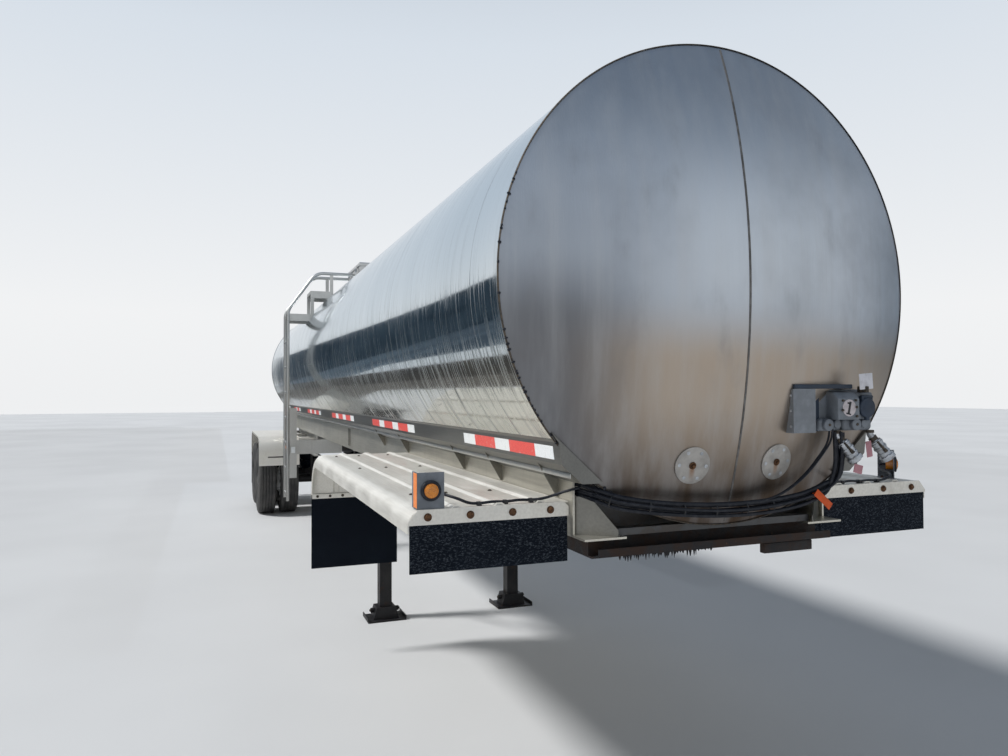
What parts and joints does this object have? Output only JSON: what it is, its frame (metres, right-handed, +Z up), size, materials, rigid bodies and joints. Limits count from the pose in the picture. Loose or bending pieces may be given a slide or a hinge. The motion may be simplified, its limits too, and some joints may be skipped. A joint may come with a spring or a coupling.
{
  "type": "polished sanitary tank semi-trailer",
  "caption": "Round stainless tank semi-trailer on landing gear, with twin-wheel tandem, front fenders, ladder, manhole box and rear valve cabinet.",
  "frame": {"origin": "on the ground, on the centreline, half way between the nose and the rear bumper", "axes": "+X to the trailer's front, +Y to its left, +Z up"},
  "size_m": [12.4918, 2.584, 3.455],
  "materials": {
    "polished_steel": "mirror polished stainless",
    "satin_steel": "satin brushed stainless",
    "mill_steel": "plain stainless sheet",
    "fender_steel": "weathered bright sheet",
    "black_steel": "black paint, worn and rusty",
    "forged_steel": "greasy forged steel",
    "grey_cast": "weathered grey casting",
    "rubber": "textured black rubber",
    "tyre": "worn tread rubber",
    "wheel_steel": "light painted wheel steel",
    "amber_lens": "amber lens",
    "red_lens": "red lens",
    "cable_black": "black cable jacket"
  },
  "bodies": {
    "trailer": {"tank_barrel": "polished_steel", "front_head": "satin_steel", "rear_head": "satin_steel", "side_rails": "mill_steel", "frame_rails": "mill_steel", "saddles": "mill_steel", "outriggers": "mill_steel", "coupler_plate": "black_steel", "kingpin": "forged_steel", "front_fender_left": "fender_steel", "front_fender_right": "fender_steel", "fender_brackets": "mill_steel", "rubber_flaps": "rubber", "marker_brackets": "grey_cast", "marker_lamps": "amber_lens", "connector_box": "grey_cast", "gladhands": "grey_cast", "cable_bundle": "cable_black", "lamp_wires": "cable_black", "landing_legs": "black_steel", "landing_shaft": "black_steel", "ladder": "mill_steel", "ladder_outrigger": "mill_steel", "manhole_box": "mill_steel", "manhole_cover": "mill_steel", "rear_subframe": "mill_steel", "suspension": "black_steel", "air_springs": "rubber", "axles": "black_steel", "rear_fenders": "fender_steel", "valve_cabinet": "mill_steel", "outlet_valve": "polished_steel", "rear_bumper": "mill_steel", "tail_lamps": "red_lens", "air_reservoirs": "black_steel"},
    "wheel_1_left": {"wheel_1_left_rims": "wheel_steel", "wheel_1_left_tyres": "tyre"},
    "wheel_1_right": {"wheel_1_right_rims": "wheel_steel", "wheel_1_right_tyres": "tyre"},
    "wheel_2_left": {"wheel_2_left_rims": "wheel_steel", "wheel_2_left_tyres": "tyre"},
    "wheel_2_right": {"wheel_2_right_rims": "wheel_steel", "wheel_2_right_tyres": "tyre"},
    "cabinet_door_left": {"cabinet_door_left": "mill_steel"},
    "cabinet_door_right": {"cabinet_door_right": "mill_steel"},
    "manhole_lid": {"manhole_lid": "mill_steel"}
  },
  "joints": [
    {"name": "wheel_1_left_spin", "type": "hinge", "parent": "trailer", "child": "wheel_1_left", "pos_m": [-4.146, 0, 0.525], "axis": [0, 1, 0], "continuous": true},
    {"name": "wheel_1_right_spin", "type": "hinge", "parent": "trailer", "child": "wheel_1_right", "pos_m": [-4.146, 0, 0.525], "axis": [0, 1, 0], "continuous": true},
    {"name": "wheel_2_left_spin", "type": "hinge", "parent": "trailer", "child": "wheel_2_left", "pos_m": [-5.391, 0, 0.525], "axis": [0, 1, 0], "continuous": true},
    {"name": "wheel_2_right_spin", "type": "hinge", "parent": "trailer", "child": "wheel_2_right", "pos_m": [-5.391, 0, 0.525], "axis": [0, 1, 0], "continuous": true},
    {"name": "cabinet_door_left_swing", "type": "hinge", "parent": "trailer", "child": "cabinet_door_left", "pos_m": [-6.127, 0.529, 1.69], "axis": [0, 0, -1], "range_deg": [0, 110]},
    {"name": "cabinet_door_right_swing", "type": "hinge", "parent": "trailer", "child": "cabinet_door_right", "pos_m": [-6.127, -0.529, 1.69], "axis": [0, 0, 1], "range_deg": [0, 110]},
    {"name": "manhole_lid_swing", "type": "hinge", "parent": "trailer", "child": "manhole_lid", "pos_m": [-0.756, 0.341, 3.415], "axis": [-1, 0, 0], "range_deg": [0, 105]}
  ]
}
